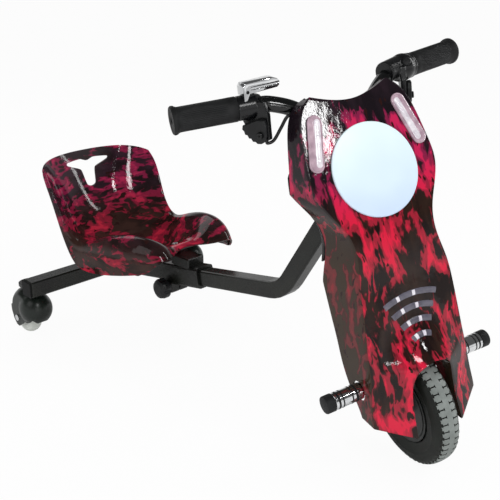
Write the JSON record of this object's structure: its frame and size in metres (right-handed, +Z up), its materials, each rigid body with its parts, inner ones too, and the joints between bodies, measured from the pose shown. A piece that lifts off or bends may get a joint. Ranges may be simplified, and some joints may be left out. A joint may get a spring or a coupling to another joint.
{
  "type": "electric drift tricycle",
  "caption": "Child's electric drift tricycle: steered hub-motor front column with handlebar, shroud and pegs, bucket seat on a sloping tube, and hooded rear casters.",
  "frame": {"origin": "on the floor, under the middle of the machine's bounding box at rest", "axes": "+X towards the rider's left, +Y towards the rear along the main tube, +Z up; the steering is stored turned 20 degrees to the rider's right"},
  "size_m": [0.4798, 0.9478, 0.5979],
  "materials": {
    "black_painted_steel": "satin black powder coat on steel tube",
    "zinc_plated_steel": "zinc-plated bolts, pins and cups",
    "chromed_steel": "polished chrome plate",
    "cast_aluminium": "as-cast aluminium",
    "black_abs": "black ABS with a fine grain",
    "grey_green_nylon": "very dark grey-green nylon",
    "white_polyurethane": "white caster tread",
    "black_rubber": "moulded black rubber",
    "tyre_rubber": "black tyre with a grey cross-block tread",
    "stator_copper": "laminated stator with copper windings",
    "red_and_black_print": "glossy moulded shell with a red and black camouflage print",
    "pale_panel": "pale blue-white round panel",
    "lamp_lens": "clear lamp lens over a silvery backing",
    "light_guide": "frosted grey light guide",
    "cable_jacket": "black cable jacket"
  },
  "bodies": {
    "frame": {"main_tube": "black_painted_steel", "head_tube": "black_painted_steel", "headset_cup_lower": "zinc_plated_steel", "headset_cup_upper": "zinc_plated_steel", "rear_cross_tube": "black_painted_steel", "end_cap_right": "black_abs", "end_cap_left": "black_abs", "rear_socket": "black_painted_steel", "socket_bolt": "zinc_plated_steel", "caster_bracket_right": "black_painted_steel", "caster_bracket_left": "black_painted_steel"},
    "steered_column": {"fork": "black_painted_steel", "front_axle": "cast_aluminium", "axle_nut_right": "chromed_steel", "axle_nut_left": "chromed_steel", "motor_stator": "stator_copper", "peg_right": "chromed_steel", "peg_left": "chromed_steel", "peg_cap_right": "black_rubber", "peg_cap_left": "black_rubber", "stem": "black_painted_steel", "handlebar": "black_painted_steel", "grip_right": "black_rubber", "grip_left": "black_rubber", "lever_housing_right": "black_abs", "lever_housing_left": "black_abs", "cable_right": "cable_jacket", "cable_left": "cable_jacket", "shroud_front": "red_and_black_print", "shroud_rear": "black_abs", "number_disc": "pale_panel", "led_strip_right": "lamp_lens", "led_strip_left": "lamp_lens", "arc_light": "light_guide", "battery_cage": "black_painted_steel", "battery_pack": "black_abs", "controller": "cast_aluminium", "charge_port": "black_abs"},
    "front_wheel": {"tyre": "tyre_rubber", "hub_shell": "cast_aluminium", "hub_cover": "cast_aluminium"},
    "seat": {"seat_shell": "red_and_black_print", "seat_clamp": "black_painted_steel", "seat_bolt_front": "zinc_plated_steel", "seat_bolt_rear": "zinc_plated_steel", "clamp_bolt": "zinc_plated_steel"},
    "clamp_knob": {"clamp_knob": "black_abs"},
    "caster_right": {"caster_hood_right": "grey_green_nylon", "caster_stem_right": "zinc_plated_steel", "caster_axle_right": "zinc_plated_steel"},
    "caster_left": {"caster_hood_left": "grey_green_nylon", "caster_stem_left": "zinc_plated_steel", "caster_axle_left": "zinc_plated_steel"},
    "caster_wheel_right": {"caster_wheel_right": "white_polyurethane"},
    "caster_wheel_left": {"caster_wheel_left": "white_polyurethane"},
    "trigger_right": {"trigger_right": "black_abs"},
    "trigger_left": {"trigger_left": "black_abs"},
    "thumb_lever": {"thumb_lever": "chromed_steel"},
    "switch_button": {"switch_button": "black_abs"},
    "charge_cap": {"charge_cap": "black_rubber"}
  },
  "joints": [
    {"name": "steering", "type": "hinge", "parent": "frame", "child": "steered_column", "pos_m": [0.00958, -0.38853, -0.006], "axis": [0, 0.4226, 0.9063], "range_deg": [-25, 65]},
    {"name": "front_wheel_spin", "type": "hinge", "parent": "steered_column", "child": "front_wheel", "pos_m": [-0.00385, -0.38238, 0.0945], "axis": [0.9397, -0.31, 0.1445], "continuous": true},
    {"name": "caster_swivel_right", "type": "hinge", "parent": "frame", "child": "caster_right", "pos_m": [-0.19112, 0.39147, 0.109], "axis": [0, 0, 1], "continuous": true},
    {"name": "caster_swivel_left", "type": "hinge", "parent": "frame", "child": "caster_left", "pos_m": [0.21028, 0.39147, 0.109], "axis": [0, 0, 1], "continuous": true},
    {"name": "caster_spin_right", "type": "hinge", "parent": "caster_right", "child": "caster_wheel_right", "pos_m": [-0.19112, 0.40817, 0.036], "axis": [1, 0, 0], "continuous": true},
    {"name": "caster_spin_left", "type": "hinge", "parent": "caster_left", "child": "caster_wheel_left", "pos_m": [0.21028, 0.40817, 0.036], "axis": [1, 0, 0], "continuous": true},
    {"name": "seat_slide", "type": "slide", "parent": "frame", "child": "seat", "axis": [0, 0.9847, -0.1743], "range_m": [-0.12, 0.03]},
    {"name": "clamp_knob_turn", "type": "hinge", "parent": "seat", "child": "clamp_knob", "pos_m": [0.00958, 0.17947, 0.11201], "axis": [1, 0, 0], "range_deg": [0, 360]},
    {"name": "trigger_right_pull", "type": "hinge", "parent": "steered_column", "child": "trigger_right", "pos_m": [-0.13491, -0.19522, 0.48999], "axis": [-0.9651, -0.2238, -0.1358], "range_deg": [0, 18], "stiffness_Nm_per_rad": 0.1, "springref_deg": -17.19},
    {"name": "trigger_left_pull", "type": "hinge", "parent": "steered_column", "child": "trigger_left", "pos_m": [0.09814, -0.2721, 0.52584], "axis": [-0.6458, 0.7552, -0.112], "range_deg": [0, 18], "stiffness_Nm_per_rad": 0.1, "springref_deg": -17.19},
    {"name": "thumb_lever_press", "type": "hinge", "parent": "steered_column", "child": "thumb_lever", "pos_m": [-0.14488, -0.17277, 0.54765], "axis": [0.31, 0.9505, 0.0231], "range_deg": [0, 8], "stiffness_Nm_per_rad": 0.2, "springref_deg": -8.59},
    {"name": "switch_press", "type": "slide", "parent": "steered_column", "child": "switch_button", "axis": [0.4265, 0.712, -0.5578], "range_m": [0, 0.002], "stiffness_N_per_m": 300, "springref_m": -0.002},
    {"name": "charge_cap_lift", "type": "hinge", "parent": "steered_column", "child": "charge_cap", "pos_m": [0.034, -0.24603, 0.38987], "axis": [0.9397, -0.31, 0.1445], "range_deg": [0, 110]}
  ]
}
